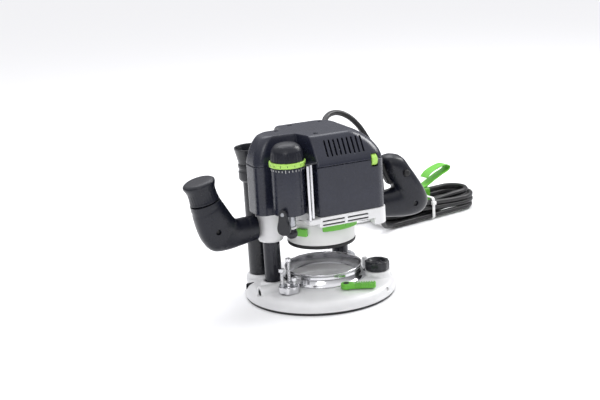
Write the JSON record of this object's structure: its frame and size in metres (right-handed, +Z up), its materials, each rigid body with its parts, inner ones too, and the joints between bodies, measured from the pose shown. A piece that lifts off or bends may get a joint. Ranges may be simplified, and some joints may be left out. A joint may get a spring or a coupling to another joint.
{
  "type": "plunge router",
  "caption": "Corded plunge router: motor carriage on spring-loaded columns over a round base, with two grips, depth stop, turret, dust duct and coiled lead.",
  "frame": {"origin": "under the middle of the machine's box, on the surface it stands on; the spindle axis is 11.6 mm to the right of it", "axes": "+X towards the right grip, +Y to the back, +Z up along the spindle"},
  "size_m": [0.5071, 0.3559, 0.1985],
  "materials": {
    "moulded_plastic": "fine moulded texture, satin",
    "soft_grip": "soft satin overmould",
    "cast_aluminium": "bead-blasted light casting",
    "bright_steel": "polished",
    "ground_steel": "ground",
    "dark_coating": "dark hard coating, satin",
    "lime_plastic": "satin lime",
    "black_rubber": "matt",
    "sole_laminate": "smooth laminate",
    "copper_winding": "varnished copper",
    "laminated_iron": "laminated",
    "brass": "turned",
    "white_nylon": "satin",
    "carbon": "matt"
  },
  "bodies": {
    "base": {"running_sole": "sole_laminate", "base_casting": "cast_aluminium", "left_column": "dark_coating", "right_column": "dark_coating", "left_spring": "ground_steel", "right_spring": "ground_steel", "chip_ring": "bright_steel", "dust_duct": "moulded_plastic", "duct_collar": "moulded_plastic", "cord_run": "black_rubber", "cord_hank": "black_rubber", "cord_tail": "black_rubber", "lead_plug": "black_rubber", "cable_tie": "white_nylon", "hook_strap": "lime_plastic"},
    "carriage": {"motor_carrier": "cast_aluminium", "left_bush": "brass", "right_bush": "brass", "shroud": "white_nylon", "shroud_seal": "black_rubber", "motor_housing": "moulded_plastic", "top_cover": "moulded_plastic", "stator": "laminated_iron", "bearing_bracket": "moulded_plastic", "lower_bearing": "bright_steel", "upper_bearing": "bright_steel", "left_brush": "carbon", "right_brush": "carbon", "left_handle": "soft_grip", "right_handle": "soft_grip", "depth_stop_housing": "moulded_plastic", "scale_rod": "bright_steel", "guide_rod": "bright_steel", "rod_bracket": "moulded_plastic", "cord_gland": "black_rubber"},
    "spindle": {"spindle_shaft": "ground_steel", "armature": "copper_winding", "commutator": "brass", "motor_fan": "white_nylon", "collet_nut": "ground_steel", "collet": "bright_steel"},
    "template_lever": {"template_lever": "lime_plastic"},
    "turret": {"stop_turret": "bright_steel", "stop_screw_1": "bright_steel", "stop_screw_2": "bright_steel", "stop_screw_3": "bright_steel"},
    "clamp_knob": {"fence_clamp_knob": "moulded_plastic"},
    "rear_clamp": {"rear_clamp_screw": "ground_steel"},
    "hose_nozzle": {"dust_nozzle": "moulded_plastic"},
    "speed_dial": {"speed_dial": "lime_plastic"},
    "spindle_lock": {"spindle_lock": "lime_plastic"},
    "shroud_latch": {"shroud_latch": "lime_plastic"},
    "plunge_lock": {"plunge_lock_knob": "soft_grip"},
    "trigger": {"trigger": "black_rubber"},
    "trigger_lock": {"trigger_lock": "lime_plastic"},
    "fine_adjuster": {"fine_adjust_knob": "soft_grip", "depth_scale_ring": "lime_plastic"},
    "depth_rod": {"depth_stop_rod": "ground_steel"},
    "depth_clamp": {"depth_clamp_lever": "moulded_plastic"}
  },
  "joints": [
    {"name": "plunge", "type": "slide", "parent": "base", "child": "carriage", "axis": [0, 0, 1], "range_m": [-0.045, 0], "stiffness_N_per_m": 1500, "springref_m": 0.05, "deforming": ["left_spring", "right_spring", "cord_run"]},
    {"name": "spindle_spin", "type": "hinge", "parent": "carriage", "child": "spindle", "pos_m": [0.0116, 0, 0.12], "axis": [0, 0, 1], "continuous": true},
    {"name": "template_lever_swing", "type": "hinge", "parent": "base", "child": "template_lever", "pos_m": [0.0126, -0.06, 0.02], "axis": [0, 0, 1], "range_deg": [0, 40]},
    {"name": "turret_index", "type": "hinge", "parent": "base", "child": "turret", "pos_m": [-0.0474, -0.0325, 0.02], "axis": [0, 0, 1], "continuous": true},
    {"name": "clamp_knob_turn", "type": "hinge", "parent": "base", "child": "clamp_knob", "pos_m": [0.0671, -0.0325, 0.025], "axis": [0, 0, 1], "range_deg": [-90, 270]},
    {"name": "rear_clamp_turn", "type": "hinge", "parent": "base", "child": "rear_clamp", "pos_m": [0.0776, 0.031, 0.0125], "axis": [0, 1, 0], "range_deg": [-90, 270]},
    {"name": "nozzle_swivel", "type": "hinge", "parent": "base", "child": "hose_nozzle", "pos_m": [-0.0509, 0.0435, 0.165], "axis": [0, 0, 1], "continuous": true},
    {"name": "speed_dial_turn", "type": "hinge", "parent": "carriage", "child": "speed_dial", "pos_m": [0.0556, -0.0562, 0.164], "axis": [1, 0, 0], "range_deg": [-135, 135]},
    {"name": "spindle_lock_press", "type": "slide", "parent": "carriage", "child": "spindle_lock", "axis": [-0.1392, 0.9903, 0], "range_m": [0, 0.0022], "stiffness_N_per_m": 500, "springref_m": -0.002},
    {"name": "shroud_latch_pull", "type": "slide", "parent": "carriage", "child": "shroud_latch", "axis": [-0.8192, -0.5736, 0], "range_m": [0, 0.002], "stiffness_N_per_m": 400, "springref_m": -0.002},
    {"name": "plunge_lock_turn", "type": "hinge", "parent": "carriage", "child": "plunge_lock", "pos_m": [-0.1297, 0, 0.1314], "axis": [-0.2402, 0, 0.9707], "range_deg": [-45, 0]},
    {"name": "trigger_squeeze", "type": "slide", "parent": "carriage", "child": "trigger", "axis": [0.8884, 0, 0.4592], "range_m": [0, 0.004], "stiffness_N_per_m": 600, "springref_m": -0.004},
    {"name": "trigger_lock_press", "type": "slide", "parent": "carriage", "child": "trigger_lock", "axis": [0, 1, 0], "range_m": [0, 0.0025], "stiffness_N_per_m": 500, "springref_m": -0.002},
    {"name": "fine_adjust_turn", "type": "hinge", "parent": "carriage", "child": "fine_adjuster", "pos_m": [-0.0429, -0.04, 0.17], "axis": [0, 0, 1], "range_deg": [-360, 360]},
    {"name": "depth_rod_slide", "type": "slide", "parent": "carriage", "child": "depth_rod", "axis": [0, 0, -1], "range_m": [-0.013, 0.024]},
    {"name": "clamp_lever_swing", "type": "hinge", "parent": "carriage", "child": "depth_clamp", "pos_m": [-0.05654, -0.05407, 0.118], "axis": [0.696, 0.718, 0], "range_deg": [0, 70]}
  ]
}
